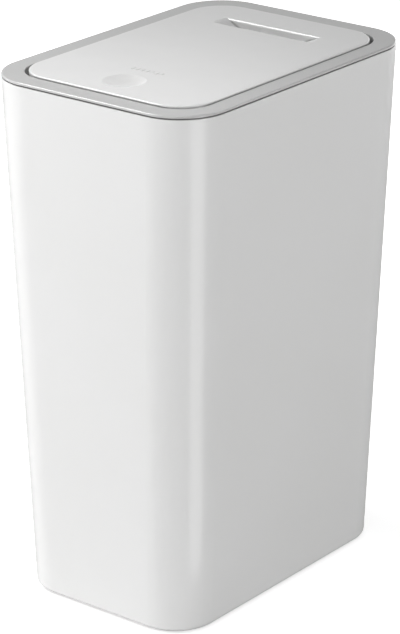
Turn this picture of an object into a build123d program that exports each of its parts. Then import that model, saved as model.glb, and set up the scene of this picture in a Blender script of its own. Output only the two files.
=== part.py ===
from build123d import *
import os
from math import cos, pi, radians, sin, sqrt, tan

# Push top countertop bin: a slim tapered bucket, a collar that lifts off its mouth, and a lid in the
# collar that springs open when its front is pressed. Millimetres. +Z is up, the front with the
# press dimple is towards -Y and the hinge towards +Y. The origin is on the ground, at the centre.

os.makedirs("parts", exist_ok=True)

# ---------------------------------------------------------------- driving dimensions
# bucket
foot_proud = 0.5  # how far the rubber feet stand out under the bucket
body_height = 330.0  # bucket, from its foot to its mouth
mouth_half_x, mouth_half_y, mouth_corner = 79.5, 112.0, 32.0
foot_half_x, foot_half_y, foot_corner = 66.1, 103.4, 28.0
body_wall = 2.0
body_floor = 3.0
foot_round = 3.0  # outer rounding round the foot
inner_round = 4.0  # rounding between floor and walls, inside
mouth_round = 0.7
base_band = 16.0  # width of the flat band round the hollow under the floor
base_hollow = 1.0
pad_radius, pad_thickness, pad_inset = 5.5, 2.0, 9.0

# collar
collar_thickness = 2.2
collar_round = 1.1
shadow_gap, shadow_depth = 0.8, 1.2  # dark groove between bucket and collar
collar_side, collar_end = 12.5, 13.5  # width of the collar beside and before the opening
opening_corner = 21.5
opening_round = 0.4
well_wall, skirt_wall, skirt_depth = 1.8, 1.6, 12.0
ledge_gap, ledge_width, ledge_thickness = 2.3, 2.5, 1.5  # stop for a lid pressed too far
ledge_rear_y = 66.0
rib_wall, rib_pitch, rib_rise = 1.4, 32.0, 2.0  # the ribs end this far above the skirt's edge
side_ribs, end_ribs = 5, 3

# lid
lid_gap = 1.0
lid_corner = 24.0
lid_proud = 1.0
lid_plate, lid_skirt_wall, lid_depth, lid_round = 2.0, 1.8, 7.0, 1.0
dimple_radius, dimple_depth, dimple_blend, dimple_wall = 13.2, 2.8, 1.0, 1.6
dimple_inset = 24.2  # from the lid's front edge
scoop_front, scoop_rear, scoop_depth = 40.0, 27.0, 9.0  # front and rear from the lid's rear edge
scoop_half, scoop_slope, scoop_blend = 36.0, 28.0, 12.0
scoop_lip, scoop_front_lip, scoop_lean = 1.8, 0.6, 3.0
scoop_wall = 1.8
lid_rib, lid_rib_pitch, lid_ribs = 1.2, 28.0, 4
cross_ribs = (49.5, 95.5, 127.5)  # from the lid's front edge
stub_rib, deep_rib_gap = 9.0, 2.0  # short ribs at the rear edge, and a rib behind the cover
cover_thickness, cover_panel = 1.6, 0.5
cover_rear_y = 50.0
panel_side, panel_front, panel_rear, panel_corner = 20.0, 28.0, 12.0, 12.0
cover_screw_side, cover_screw_front, cover_screw_rear = 11.0, 19.5, 8.0  # from the cover's edges

# hinge
hinge_inset, hinge_drop = 22.0, 5.0  # rod's axis, from the lid's rear edge and from its top
rod_radius = 1.5
rod_overhang = 4.0  # past the well wall, inside each boss
boss_radius = 3.8
knuckle_radius = 3.2
knuckle_width = 6.5
inner_knuckle_x, inner_knuckle_width = 32.0, 5.0
plug_radius, plug_length = 2.6, 2.4

# torsion springs
coil_wire, coil_radius, coil_pitch, coil_turns = 1.0, 2.15, 1.5, 4
coil_start_x = 50.0
lid_leg, collar_leg = 15.0, 9.0
leg_bend = 1.6

# latch
latch_inset = 7.0  # its axis, from the lid's front edge
latch_drop = 2.1  # from the striker's plate down to the housing's mouth
housing_height, housing_half_x, housing_back = 30.0, 9.0, 3.5
housing_floor = 2.0
pocket_half_x, pocket_y = 6.0, 9.0
ear_half_x, ear_height, ear_drop = 16.0, 10.0, 2.0
tongue_half_x, tongue_below, tongue_gusset = 20.0, 2.0, 9.0
latch_screw_grip, latch_boss_end = 4.0, 1.0  # screw in its boss, and boss behind the screw
housing_screw_inset = 4.0
cover_plate, cam_channel_depth, cam_channel_half = 3.0, 1.6, 4.2
striker_plate_x, striker_plate_y, striker_plate = 27.0, 8.0, 1.6
striker_screw_inset = 4.0
neck_x, neck_y, neck_length = 3.2, 5.0, 5.1
head_x, head_height, head_taper = 6.8, 3.8, 1.0
catch_gap = 0.2  # between head and fingers
finger_wall, finger_hook, finger_tip = 2.0, 1.8, 2.0
slider_body, slider_bore_depth, slider_bore_shift = 12.9, 6.0, 0.8
spring_wire, spring_radius, spring_turns = 0.7, 2.1, 8
cam_wire, cam_arm, cam_depth, cam_bend = 1.2, 13.0, 1.5, 1.0
track_half, track_up, track_down, track_corner = 3.0, 2.8, 6.0, 2.5
track_inset = 1.6  # between the track and the slider's top
heart_half, heart_shoulder, heart_notch, heart_side, heart_point = 1.4, 0.1, 1.0, 2.6, 4.4

# bag ring
bag_ring_drop, bag_ring_height, bag_ring_wall, bag_ring_lip = 24.0, 9.0, 1.6, 4.0
bag_ring_clearance = 0.8
lug_reach, lug_height, lug_width = 4.0, 9.0, 12.0
lug_x, lug_y = 34.0, 50.0  # along the short and the long walls, from their middle

# screws and buffers
screw_radius, screw_head_radius, screw_head_height = 1.2, 2.3, 1.1
small_screw_radius, small_head_radius, small_head_height, small_screw_length = 0.8, 1.5, 0.7, 6.0
boss_wall = 1.8
plate_corner = 2.0  # rounded corners of the latch's and the striker's plates
root = 0.5  # how far a rib, boss or wall is sunk into what carries it
buffer_length, buffer_inset = 14.0, 42.0

# clearances
running = 0.05  # between a rod or screw and its hole
sliding = 0.2  # between the slider and its pocket
seat = 0.3  # between pieces that only lie beside each other
rest = 0.3  # between the buffers and the lid


# ---------------------------------------------------------------- places that follow
foot_z = foot_proud
mouth_z = foot_z + body_height
collar_z = mouth_z + collar_thickness
lid_z = collar_z + lid_proud
plate_z = lid_z - lid_plate
skirt_z = lid_z - lid_depth

open_half_x = mouth_half_x - collar_side
open_half_y = mouth_half_y - collar_end
lid_half_x = open_half_x - lid_gap
lid_half_y = open_half_y - lid_gap
well_z = mouth_z - skirt_depth

hinge_y = lid_half_y - hinge_inset
hinge_z = lid_z - hinge_drop

cover_z = skirt_z
cover_top_z = cover_z + cover_thickness
striker_z = cover_z - striker_plate
latch_y = latch_inset - lid_half_y
latch_z = striker_z - latch_drop
housing_z = latch_z - housing_height
pocket_floor_z = housing_z + housing_floor
pocket_front_y = latch_y + pocket_y / 2

neck_end_z = striker_z - neck_length
head_z = neck_end_z - head_height
slider_top_z = head_z - catch_gap
slider_z = slider_top_z - slider_body
spring_y = latch_y - slider_bore_shift
cam_pin_y = pocket_front_y + sliding / 2 + cam_wire / 2
cam_tip_z = slider_top_z - track_up - track_inset
cam_pivot_z = cam_tip_z - cam_arm
mount_screw_x = (housing_half_x + ear_half_x) / 2
ear_z = latch_z - ear_drop
mount_screw_z = ear_z - ear_height / 2

cover_screw_x = lid_half_x - cover_screw_side
cover_screw_ends = (cover_screw_front - lid_half_y, cover_rear_y - cover_screw_rear)
cover_screw_rows = (cover_screw_ends[0], sum(cover_screw_ends) / 2, cover_screw_ends[1])
cover_screws = [(x, y) for x in (-cover_screw_x, cover_screw_x) for y in cover_screw_rows]
striker_screws_x = striker_plate_x / 2 - striker_screw_inset


def half_x(z):
    """Half width of the bucket's outside at height z."""
    return foot_half_x + (mouth_half_x - foot_half_x) * (z - foot_z) / body_height


def half_y(z):
    """Half length of the bucket's outside at height z."""
    return foot_half_y + (mouth_half_y - foot_half_y) * (z - foot_z) / body_height


def corner(z):
    """Corner radius of the bucket's outside at height z."""
    return foot_corner + (mouth_corner - foot_corner) * (z - foot_z) / body_height


def bucket_outline(z, inset, mode=Mode.ADD):
    """The bucket's outline at height z, drawn inside its outside by inset."""
    width, length = 2 * (half_x(z) - inset), 2 * (half_y(z) - inset)
    RectangleRounded(width, length, corner(z) - inset, mode=mode)


def lid_outline(inset):
    """The lid's outline, drawn inside its edge by inset."""
    RectangleRounded(2 * (lid_half_x - inset), 2 * (lid_half_y - inset), lid_corner - inset)


def opening_outline(grow, mode=Mode.ADD):
    """The collar's opening, drawn outside its edge by grow."""
    width, length = 2 * (open_half_x + grow), 2 * (open_half_y + grow)
    RectangleRounded(width, length, opening_corner + grow, mode=mode)


def screw(radius, head_radius, head_height, length):
    """A countersunk screw along +Z, its head's flat face at the origin."""
    with BuildPart() as one:
        with BuildSketch(Plane.XZ):
            Polygon(
                (0, 0),
                (head_radius, 0),
                (radius, head_height),
                (radius, length),
                (0, length),
                align=None,
            )
        revolve(axis=Axis.Z)
    return one.part


def coil(place, along, spans):
    """Draw a coil as tangent arcs, two to each span, from its place and direction functions."""
    for i in range(spans):
        a, b = place(i / spans), place((i + 1) / spans)
        u, v = along(i / spans), along((i + 1) / spans)
        chord = b - a
        lean = chord.dot(u + v)
        spread = 2 * (1 - u.dot(v))
        reach = (sqrt(lean**2 + spread * chord.dot(chord)) - lean) / spread
        joint = (a + u * reach + b - v * reach) / 2
        TangentArc(a, joint, tangent=u)
        TangentArc(joint, b, tangent=(b - v * reach) - (a + u * reach))


def coil_gap(place, turns, wire):
    """Least gap between neighbouring turns of a coil, measured on points."""
    steps = 24
    points = [place(i / (steps * turns)) for i in range(int(steps * turns) + 1)]
    far = steps // 2
    return min((q - p).length for i, p in enumerate(points) for q in points[i + far :]) - wire


# ---------------------------------------------------------------- bucket
with BuildPart() as cavity:
    cavity_floor_z = foot_z + body_floor
    for z in (cavity_floor_z, mouth_z + 1):
        with BuildSketch(Plane.XY.offset(z)):
            bucket_outline(z, body_wall)
    loft(ruled=True)
    fillet(cavity.edges().group_by(Axis.Z)[0], inner_round)

pad_turn = (foot_corner - pad_inset) * cos(radians(45))
pad_x = foot_half_x - foot_corner + pad_turn
pad_y = foot_half_y - foot_corner + pad_turn
pad_places = [(x, y, foot_z) for x in (-pad_x, pad_x) for y in (-pad_y, pad_y)]
pad_sink = pad_thickness - foot_proud

lug_z = mouth_z - bag_ring_drop - bag_ring_height
lug_foot_z = lug_z - lug_height

with BuildPart() as bin_body:
    for z in (foot_z, mouth_z):
        with BuildSketch(Plane.XY.offset(z)):
            bucket_outline(z, 0)
    loft(ruled=True)
    fillet(bin_body.edges().group_by(Axis.Z)[0], foot_round)
    fillet(bin_body.edges().group_by(Axis.Z)[-1], mouth_round)
    add(cavity.part, mode=Mode.SUBTRACT)
    # lugs inside the long and the short walls, on which the bag ring rests
    for side in (-1, 1):
        with BuildSketch(Plane.XZ) as long_wall_lug:
            wall_x = half_x(lug_z) - body_wall
            Polygon(
                (side * (wall_x + body_wall / 2), lug_z),
                (side * (wall_x - lug_reach), lug_z),
                (side * (half_x(lug_foot_z) - body_wall / 2), lug_foot_z),
                align=None,
            )
        for y in (-lug_y, lug_y):
            extrude(long_wall_lug.sketch.moved(Location((0, y + lug_width / 2, 0))), lug_width)
        with BuildSketch(Plane.YZ) as short_wall_lug:
            wall_y = half_y(lug_z) - body_wall
            Polygon(
                (side * (wall_y + body_wall / 2), lug_z),
                (side * (wall_y - lug_reach), lug_z),
                (side * (half_y(lug_foot_z) - body_wall / 2), lug_foot_z),
                align=None,
            )
        for x in (-lug_x, lug_x):
            extrude(short_wall_lug.sketch.moved(Location((x - lug_width / 2, 0, 0))), lug_width)
    # hollow under the floor, and the four pockets of the feet
    with BuildSketch(Plane.XY.offset(foot_z)):
        bucket_outline(foot_z, base_band)
    extrude(amount=base_hollow, mode=Mode.SUBTRACT)
    with Locations(*pad_places):
        Cylinder(
            pad_radius + running,
            pad_sink,
            align=(Align.CENTER, Align.CENTER, Align.MIN),
            mode=Mode.SUBTRACT,
        )

with BuildPart() as anti_slip_feet:
    with Locations(*pad_places):
        with Locations((0, 0, -foot_proud)):
            Cylinder(pad_radius, pad_thickness, align=(Align.CENTER, Align.CENTER, Align.MIN))
    chamfer(anti_slip_feet.edges().group_by(Axis.Z)[0], foot_proud / 2)

bin_body.part.label = "bin_body"
export_step(bin_body.part, "parts/bin_body.step")
anti_slip_feet.part.label = "anti_slip_feet"
export_step(anti_slip_feet.part, "parts/anti_slip_feet.step")


# ---------------------------------------------------------------- bag ring
bag_ring_inset = body_wall + bag_ring_clearance

with BuildPart() as bag_ring:
    # upright band that follows the bucket's wall
    with BuildSketch(Plane.XY.offset(lug_z)):
        bucket_outline(lug_z, bag_ring_inset)
        bucket_outline(lug_z, bag_ring_inset + bag_ring_wall, Mode.SUBTRACT)
    extrude(amount=bag_ring_height)
    # lip that turns inwards at its top
    with BuildSketch(Plane.XY.offset(lug_z + bag_ring_height - bag_ring_wall)):
        bucket_outline(lug_z, bag_ring_inset + bag_ring_wall / 2)
        bucket_outline(lug_z, bag_ring_inset + bag_ring_wall + bag_ring_lip, Mode.SUBTRACT)
    extrude(amount=bag_ring_wall)
    fillet(bag_ring.faces().sort_by(Axis.Z)[-1].outer_wire().edges(), bag_ring_wall / 2)

bag_ring.part.label = "bag_ring"
export_step(bag_ring.part, "parts/bag_ring.step")


# ---------------------------------------------------------------- collar
skirt_half_x = half_x(well_z) - body_wall - seat
skirt_half_y = half_y(well_z) - body_wall - seat
tongue_back_y = -open_half_y - well_wall
tongue_z = housing_z - tongue_below
ledge_z = skirt_z - ledge_gap
hook_y = hinge_y + coil_radius * cos(radians(45)) - collar_leg * cos(radians(45))
hook_z = hinge_z - coil_radius * cos(radians(45)) - collar_leg * cos(radians(45))
buffer_y = buffer_inset - open_half_y

with BuildPart() as rim_ring:
    # flange, flush with the bucket, over a groove that stays in shadow
    with BuildSketch(Plane.XY.offset(mouth_z)):
        bucket_outline(mouth_z, 0)
    extrude(amount=collar_thickness)
    fillet(rim_ring.faces().sort_by(Axis.Z)[-1].edges(), collar_round)
    with BuildSketch(Plane.XY.offset(mouth_z)):
        bucket_outline(mouth_z, -1)
        bucket_outline(mouth_z, shadow_depth, Mode.SUBTRACT)
    extrude(amount=shadow_gap, mode=Mode.SUBTRACT)
    # skirt that finds its place inside the mouth, and the well round the opening
    with BuildSketch(Plane.XY.offset(well_z)):
        bucket_outline(well_z, body_wall + seat)
        bucket_outline(well_z, body_wall + seat + skirt_wall, Mode.SUBTRACT)
        opening_outline(well_wall)
    extrude(amount=skirt_depth + collar_thickness / 2)
    with BuildSketch(Plane.XY.offset(well_z - 1)):
        opening_outline(0)
    extrude(amount=skirt_depth + collar_thickness + 2, mode=Mode.SUBTRACT)
    # ribs between well and skirt
    side_rib = skirt_half_x - skirt_wall - open_half_x - well_wall + 1
    end_rib = skirt_half_y - skirt_wall - open_half_y - well_wall + 1
    rib_x = (skirt_half_x - skirt_wall + open_half_x + well_wall) / 2
    rib_y = (skirt_half_y - skirt_wall + open_half_y + well_wall) / 2
    with BuildSketch(Plane.XY.offset(well_z + rib_rise)):
        with GridLocations(2 * rib_x, rib_pitch, 2, side_ribs):
            Rectangle(side_rib, rib_wall)
        with GridLocations(rib_pitch, 2 * rib_y, end_ribs, 2):
            Rectangle(rib_wall, end_rib)
    extrude(amount=skirt_depth - rib_rise + collar_thickness / 2)
    # ledge that stops a lid pressed too far, left out behind the hinge's reach and at the latch
    with BuildSketch(Plane.XY.offset(ledge_z - ledge_thickness)):
        opening_outline(well_wall / 2)
        opening_outline(-ledge_width, Mode.SUBTRACT)
        with Locations((0, ledge_rear_y)):
            Rectangle(
                2 * (open_half_x + well_wall),
                open_half_y,
                align=(Align.CENTER, Align.MIN),
                mode=Mode.SUBTRACT,
            )
        with Locations((0, -open_half_y)):
            Rectangle(2 * tongue_half_x, 4 * ledge_width, mode=Mode.SUBTRACT)
    extrude(amount=ledge_thickness)
    # bosses of the hinge rod, from the well out through the skirt
    for side in (-1, 1):
        with BuildSketch(Plane.YZ.offset(side * (open_half_x + well_wall / 2))):
            with Locations((hinge_y, hinge_z)):
                Circle(boss_radius)
        extrude(amount=side * (skirt_half_x - skirt_wall / 2 - open_half_x - well_wall / 2))
    # tongue that carries the latch, with two gussets and the screw bosses behind it
    with BuildSketch(Plane.XY.offset(tongue_z)):
        with Locations((0, tongue_back_y)):
            Rectangle(2 * tongue_half_x, well_wall, align=(Align.CENTER, Align.MIN))
    extrude(amount=well_z - tongue_z + 1)
    with BuildSketch(Plane.YZ.offset(tongue_half_x)) as gusset:
        Polygon(
            (tongue_back_y + root, well_z + rib_rise),
            (rib_wall - skirt_half_y, well_z + rib_rise),
            (rib_wall - skirt_half_y, well_z),
            (tongue_back_y + root, well_z - tongue_gusset),
            align=None,
        )
    extrude(gusset.sketch, -rib_wall)
    extrude(gusset.sketch.moved(Location((rib_wall - 2 * tongue_half_x, 0, 0))), -rib_wall)
    with BuildSketch(Plane.XZ.offset(-tongue_back_y - root)):
        with GridLocations(2 * mount_screw_x, 1, 2, 1):
            with Locations((0, mount_screw_z)):
                Circle(screw_radius + boss_wall)
    extrude(amount=root + latch_screw_grip + latch_boss_end)
    # bores: hinge rod, its plugs, the springs' legs and the latch's screws
    with BuildSketch(Plane.YZ):
        with Locations((hinge_y, hinge_z)):
            Circle(rod_radius + running)
    extrude(amount=mouth_half_x, both=True, mode=Mode.SUBTRACT)
    for side in (-1, 1):
        with BuildSketch(Plane.YZ.offset(side * skirt_half_x)):
            with Locations((hinge_y, hinge_z)):
                Circle(plug_radius + running)
        extrude(amount=-side * (plug_length + running), mode=Mode.SUBTRACT)
        with BuildSketch(Plane.YZ.offset(side * (open_half_x - 1))):
            with Locations((hook_y, hook_z)):
                Circle(coil_wire / 2 + seat)
        extrude(amount=side * (well_wall + 2), mode=Mode.SUBTRACT)
    with BuildSketch(Plane.XZ.offset(open_half_y - 1)):
        with GridLocations(2 * mount_screw_x, 1, 2, 1):
            with Locations((0, mount_screw_z)):
                Circle(screw_radius + running)
    extrude(amount=1 + well_wall + latch_screw_grip + latch_boss_end - seat, mode=Mode.SUBTRACT)
    fillet(rim_ring.faces().sort_by(Axis.Z)[-1].inner_wires()[0].edges(), opening_round)

rim_ring.part.label = "rim_ring"
export_step(rim_ring.part, "parts/rim_ring.step")

with BuildPart() as lid_buffers:
    with BuildSketch(Plane.XY.offset(ledge_z)):
        with GridLocations(2 * (lid_half_x - lid_skirt_wall / 2), 2 * buffer_y, 2, 2):
            SlotOverall(buffer_length, lid_skirt_wall, rotation=90)
    extrude(amount=ledge_gap - rest)

lid_buffers.part.label = "lid_buffers"
export_step(lid_buffers.part, "parts/lid_buffers.step")


# ---------------------------------------------------------------- lid
def finger_scoop():
    """The finger recess: ramps at both ends and an upright rear wall under a rounded lip."""
    skim = 0.05  # the cut starts a hair above the lid, so that its blends run out on the surface
    clear = 12.0  # how far the flat part of the cut runs past the recess
    top = lid_z + skim
    deep = top - scoop_depth - 1
    ramp_foot = scoop_half - (scoop_depth + 1) / tan(radians(scoop_slope))
    front_y, rear_y = lid_half_y - scoop_front, lid_half_y - scoop_rear
    with BuildPart() as scoop:
        with BuildSketch(Plane.XZ):
            with BuildLine():
                FilletPolyline(
                    (-scoop_half - clear, top),
                    (-scoop_half, top),
                    (-ramp_foot, deep),
                    (ramp_foot, deep),
                    (scoop_half, top),
                    (scoop_half + clear, top),
                    radius=[scoop_blend, scoop_wall, scoop_wall, scoop_blend],
                )
                Polyline(
                    (scoop_half + clear, top),
                    (scoop_half + clear, top + 1),
                    (-scoop_half - clear, top + 1),
                    (-scoop_half - clear, top),
                )
            make_face()
        extrude(amount=-lid_half_y)
        with BuildSketch(Plane.YZ):
            with BuildLine():
                FilletPolyline(
                    (front_y - clear, top),
                    (front_y, top),
                    (front_y + scoop_lean, lid_z - scoop_depth),
                    (rear_y, lid_z - scoop_depth),
                    (rear_y, top),
                    (rear_y + clear, top),
                    radius=[scoop_front_lip, scoop_wall, scoop_wall, scoop_lip],
                )
                Polyline(
                    (rear_y + clear, top),
                    (rear_y + clear, top + 2),
                    (front_y - clear, top + 2),
                    (front_y - clear, top),
                )
            make_face()
        extrude(amount=2 * scoop_half, both=True, mode=Mode.INTERSECT)
    return scoop.part


lid_inner_half_x = lid_half_x - lid_skirt_wall
lid_inner_half_y = lid_half_y - lid_skirt_wall
dimple_y = dimple_inset - lid_half_y
dish_radius = (dimple_radius**2 + dimple_depth**2) / (2 * dimple_depth)
dish_centre_z = lid_z - dimple_depth + dish_radius
rib_z = cover_top_z + seat
knuckle_rear = hinge_y + knuckle_radius - lid_half_y + lid_corner  # into the rounded corner
knuckle_x = lid_half_x - lid_corner + sqrt(lid_corner**2 - knuckle_rear**2) - knuckle_width / 2
boss_height = plate_z - cover_top_z
scoop_mid_y = lid_half_y - (scoop_front + scoop_rear) / 2
scoop_width_y = scoop_front - scoop_rear

with BuildPart() as lid_panel:
    # plate with a skirt turned down all round
    with BuildSketch(Plane.XY.offset(skirt_z)):
        lid_outline(0)
    extrude(amount=lid_depth)
    fillet(lid_panel.faces().sort_by(Axis.Z)[-1].edges(), lid_round)
    with BuildSketch(Plane.XY.offset(skirt_z)):
        lid_outline(lid_skirt_wall)
    extrude(amount=lid_depth - lid_plate, mode=Mode.SUBTRACT)
    # wall under the dimple
    with BuildSketch(Plane.XZ) as dome:
        with Locations((0, dish_centre_z)):
            Circle(dish_radius + dimple_wall)
        with Locations((0, plate_z + root)):
            Rectangle(4 * dish_radius, 4 * dish_radius, align=(Align.CENTER, Align.MIN), mode=Mode.SUBTRACT)
        with Locations((0, plate_z)):
            Rectangle(2 * dish_radius, 4 * dish_radius, align=(Align.MAX, Align.CENTER), mode=Mode.SUBTRACT)
    revolve(dome.sketch.moved(Location((0, dimple_y, 0))), Axis((0, dimple_y, 0), (0, 0, 1)))
    # wall round the finger recess
    with BuildSketch(Plane.XZ.offset(scoop_width_y / 2 + scoop_wall - scoop_mid_y)):
        shell_top = scoop_half + scoop_wall / sin(radians(scoop_slope))
        shell_drop = scoop_depth + scoop_wall
        shell_foot = shell_top - shell_drop / tan(radians(scoop_slope))
        Polygon(
            (shell_top, lid_z),
            (-shell_top, lid_z),
            (-shell_foot, lid_z - shell_drop),
            (shell_foot, lid_z - shell_drop),
            align=None,
        )
        with Locations((0, plate_z + root)):
            Rectangle(2 * shell_top, lid_plate, align=(Align.CENTER, Align.MIN), mode=Mode.SUBTRACT)
    extrude(amount=-scoop_width_y - 2 * scoop_wall)
    # ribs under the plate: shallow over the inner cover, deep round the hinge
    with BuildSketch(Plane.XY.offset(rib_z)):
        with GridLocations(lid_rib_pitch, 1, lid_ribs, 1):
            Rectangle(lid_rib, 2 * lid_inner_half_y)
        with Locations(*[(0, place - lid_half_y) for place in cross_ribs]):
            Rectangle(2 * lid_inner_half_x, lid_rib)
    extrude(amount=plate_z - rib_z + root)
    with BuildSketch(Plane.XY.offset(hinge_z - knuckle_radius)):
        with Locations((0, lid_half_y - (lid_skirt_wall + stub_rib) / 2)):
            with GridLocations(lid_rib_pitch, 1, lid_ribs, 1):
                Rectangle(lid_rib, stub_rib - lid_skirt_wall + root)
        with Locations((0, cover_rear_y + deep_rib_gap)):
            Rectangle(2 * lid_inner_half_x, lid_rib)
    extrude(amount=plate_z - hinge_z + knuckle_radius + root)
    # knuckles round the hinge rod
    for x, width in (
        (-knuckle_x, knuckle_width),
        (-inner_knuckle_x, inner_knuckle_width),
        (inner_knuckle_x, inner_knuckle_width),
        (knuckle_x, knuckle_width),
    ):
        with BuildSketch(Plane.YZ.offset(x)):
            with Locations((hinge_y, hinge_z)):
                Circle(knuckle_radius)
                Rectangle(2 * knuckle_radius, plate_z - hinge_z + root, align=(Align.CENTER, Align.MIN))
        extrude(amount=width / 2, both=True)
    # bosses of the cover's and the striker's screws
    with BuildSketch(Plane.XY.offset(cover_top_z)):
        with Locations(*cover_screws, (-striker_screws_x, latch_y), (striker_screws_x, latch_y)):
            Circle(screw_radius + boss_wall)
    extrude(amount=boss_height + root)
    # cuts: rod, screws, dimple and finger recess
    with BuildSketch(Plane.YZ):
        with Locations((hinge_y, hinge_z)):
            Circle(rod_radius + running)
    extrude(amount=mouth_half_x, both=True, mode=Mode.SUBTRACT)
    with BuildSketch(Plane.XY.offset(cover_top_z)):
        with Locations(*cover_screws, (-striker_screws_x, latch_y), (striker_screws_x, latch_y)):
            Circle(screw_radius + running)
    extrude(amount=boss_height, mode=Mode.SUBTRACT)
    with Locations((0, dimple_y, dish_centre_z)):
        Sphere(dish_radius, mode=Mode.SUBTRACT)
    fillet(lid_panel.edges().filter_by(GeomType.CIRCLE).group_by(Axis.Z)[-1], dimple_blend)
    add(finger_scoop(), mode=Mode.SUBTRACT)

lid_panel.part.label = "lid_panel"
export_step(lid_panel.part, "parts/lid_panel.step")

cover_screw_length = cover_thickness + boss_height - running
with BuildPart() as lid_cover_screws:
    with Locations(*[(x, y, cover_z) for x, y in cover_screws]):
        add(screw(screw_radius, screw_head_radius, screw_head_height, cover_screw_length))

lid_cover_screws.part.label = "lid_cover_screws"
export_step(lid_cover_screws.part, "parts/lid_cover_screws.step")

with BuildPart() as lid_inner_cover:
    with BuildSketch(Plane.XY.offset(cover_z)):
        lid_outline(lid_skirt_wall + seat)
        with Locations((0, cover_rear_y)):
            Rectangle(
                2 * lid_half_x,
                lid_half_y,
                align=(Align.CENTER, Align.MIN),
                mode=Mode.SUBTRACT,
            )
    extrude(amount=cover_thickness)
    # shallow panel sunk into its face
    with BuildSketch(Plane.XY.offset(cover_z)):
        with Locations((0, (cover_rear_y - panel_rear - lid_half_y + panel_front) / 2)):
            RectangleRounded(
                2 * (lid_half_x - panel_side),
                lid_half_y + cover_rear_y - panel_front - panel_rear,
                panel_corner,
            )
    extrude(amount=cover_panel, mode=Mode.SUBTRACT)
    with Locations(*[(x, y, cover_z) for x, y in cover_screws]):
        with Locations((0, 0, -running)):
            add(
                screw(
                    screw_radius + running,
                    screw_head_radius + running,
                    screw_head_height + running,
                    cover_thickness + 1,
                ),
                mode=Mode.SUBTRACT,
            )
    with Locations((-striker_screws_x, latch_y, cover_z - 1), (striker_screws_x, latch_y, cover_z - 1)):
        Cylinder(
            screw_radius + running,
            cover_thickness + 2,
            align=(Align.CENTER, Align.CENTER, Align.MIN),
            mode=Mode.SUBTRACT,
        )

lid_inner_cover.part.label = "lid_inner_cover"
export_step(lid_inner_cover.part, "parts/lid_inner_cover.step")


# ---------------------------------------------------------------- striker
striker_screw_places = [(x, latch_y, striker_z) for x in (-striker_screws_x, striker_screws_x)]

with BuildPart() as lid_striker:
    with BuildSketch(Plane.XY.offset(striker_z)):
        with Locations((0, latch_y)):
            RectangleRounded(striker_plate_x, striker_plate_y, plate_corner)
    extrude(amount=striker_plate)
    # neck, from the plate down into the head
    with BuildSketch(Plane.XY.offset(neck_end_z - root)):
        with Locations((0, latch_y)):
            Rectangle(neck_x, neck_y)
    extrude(amount=neck_length + 2 * root)
    # T head, tapered so that it enters between the fingers
    with BuildSketch(Plane.XZ.offset(-latch_y)):
        Polygon(
            (-head_x / 2 + head_taper, head_z),
            (head_x / 2 - head_taper, head_z),
            (head_x / 2, head_z + head_taper),
            (head_x / 2, neck_end_z),
            (-head_x / 2, neck_end_z),
            (-head_x / 2, head_z + head_taper),
            align=None,
        )
    extrude(amount=neck_y / 2, both=True)
    with Locations(*striker_screw_places):
        with Locations((0, 0, -running)):
            add(
                screw(
                    screw_radius + running,
                    screw_head_radius + running,
                    screw_head_height + running,
                    striker_plate + 1,
                ),
                mode=Mode.SUBTRACT,
            )

lid_striker.part.label = "lid_striker"
export_step(lid_striker.part, "parts/lid_striker.step")

with BuildPart() as striker_screws:
    with Locations(*striker_screw_places):
        add(
            screw(
                screw_radius,
                screw_head_radius,
                screw_head_height,
                striker_plate + cover_screw_length,
            )
        )

striker_screws.part.label = "striker_screws"
export_step(striker_screws.part, "parts/striker_screws.step")


# ---------------------------------------------------------------- hinge
rod_half = open_half_x + well_wall + rod_overhang
plug_x = skirt_half_x - plug_length

with BuildPart() as hinge_rod:
    with BuildSketch(Plane.YZ):
        with Locations((hinge_y, hinge_z)):
            Circle(rod_radius)
    extrude(amount=rod_half, both=True)
    chamfer(hinge_rod.edges().filter_by(GeomType.CIRCLE), rod_radius / 4)

hinge_rod.part.label = "hinge_rod"
export_step(hinge_rod.part, "parts/hinge_rod.step")

with BuildPart() as rod_plugs:
    for side in (-1, 1):
        with BuildSketch(Plane.YZ.offset(side * plug_x)):
            with Locations((hinge_y, hinge_z)):
                Circle(plug_radius)
        extrude(amount=side * plug_length)

rod_plugs.part.label = "rod_plugs"
export_step(rod_plugs.part, "parts/rod_plugs.step")


# ---------------------------------------------------------------- torsion springs
wound = 2 * pi * (coil_turns + 3 / 8)  # from the leg under the lid round to the collar's leg
coil_rise = coil_pitch / (2 * pi)  # along the rod for each radian


def coil_place(share):
    """A place on the right-hand coil, from its start on top of the rod."""
    angle = pi / 2 - share * wound
    return Vector(
        coil_start_x + coil_rise * share * wound,
        hinge_y + coil_radius * cos(angle),
        hinge_z + coil_radius * sin(angle),
    )


def coil_along(share):
    """The wire's direction at that place."""
    angle = pi / 2 - share * wound
    return Vector(coil_rise, coil_radius * sin(angle), -coil_radius * cos(angle)).normalized()


with BuildPart() as torsion_spring_right:
    with BuildLine() as wire:
        start, out = coil_place(0), coil_along(1)
        Line(start - coil_along(0) * lid_leg, start)
        coil(coil_place, coil_along, 4 * coil_turns + 2)
        leg_end = coil_place(1) + out * (collar_leg - leg_bend)
        Line(coil_place(1), leg_end)
        bend_end = leg_end + out * leg_bend + Vector(leg_bend, 0, 0)
        TangentArc(leg_end, bend_end, tangent=out)
        Line(bend_end, (open_half_x + well_wall / 2, bend_end.Y, bend_end.Z))
    with BuildSketch(Plane(origin=start - coil_along(0) * lid_leg, z_dir=coil_along(0))):
        Circle(coil_wire / 2)
    sweep(path=wire.line)

with BuildPart() as torsion_spring_left:
    add(mirror(torsion_spring_right.part, about=Plane.YZ))

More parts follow.
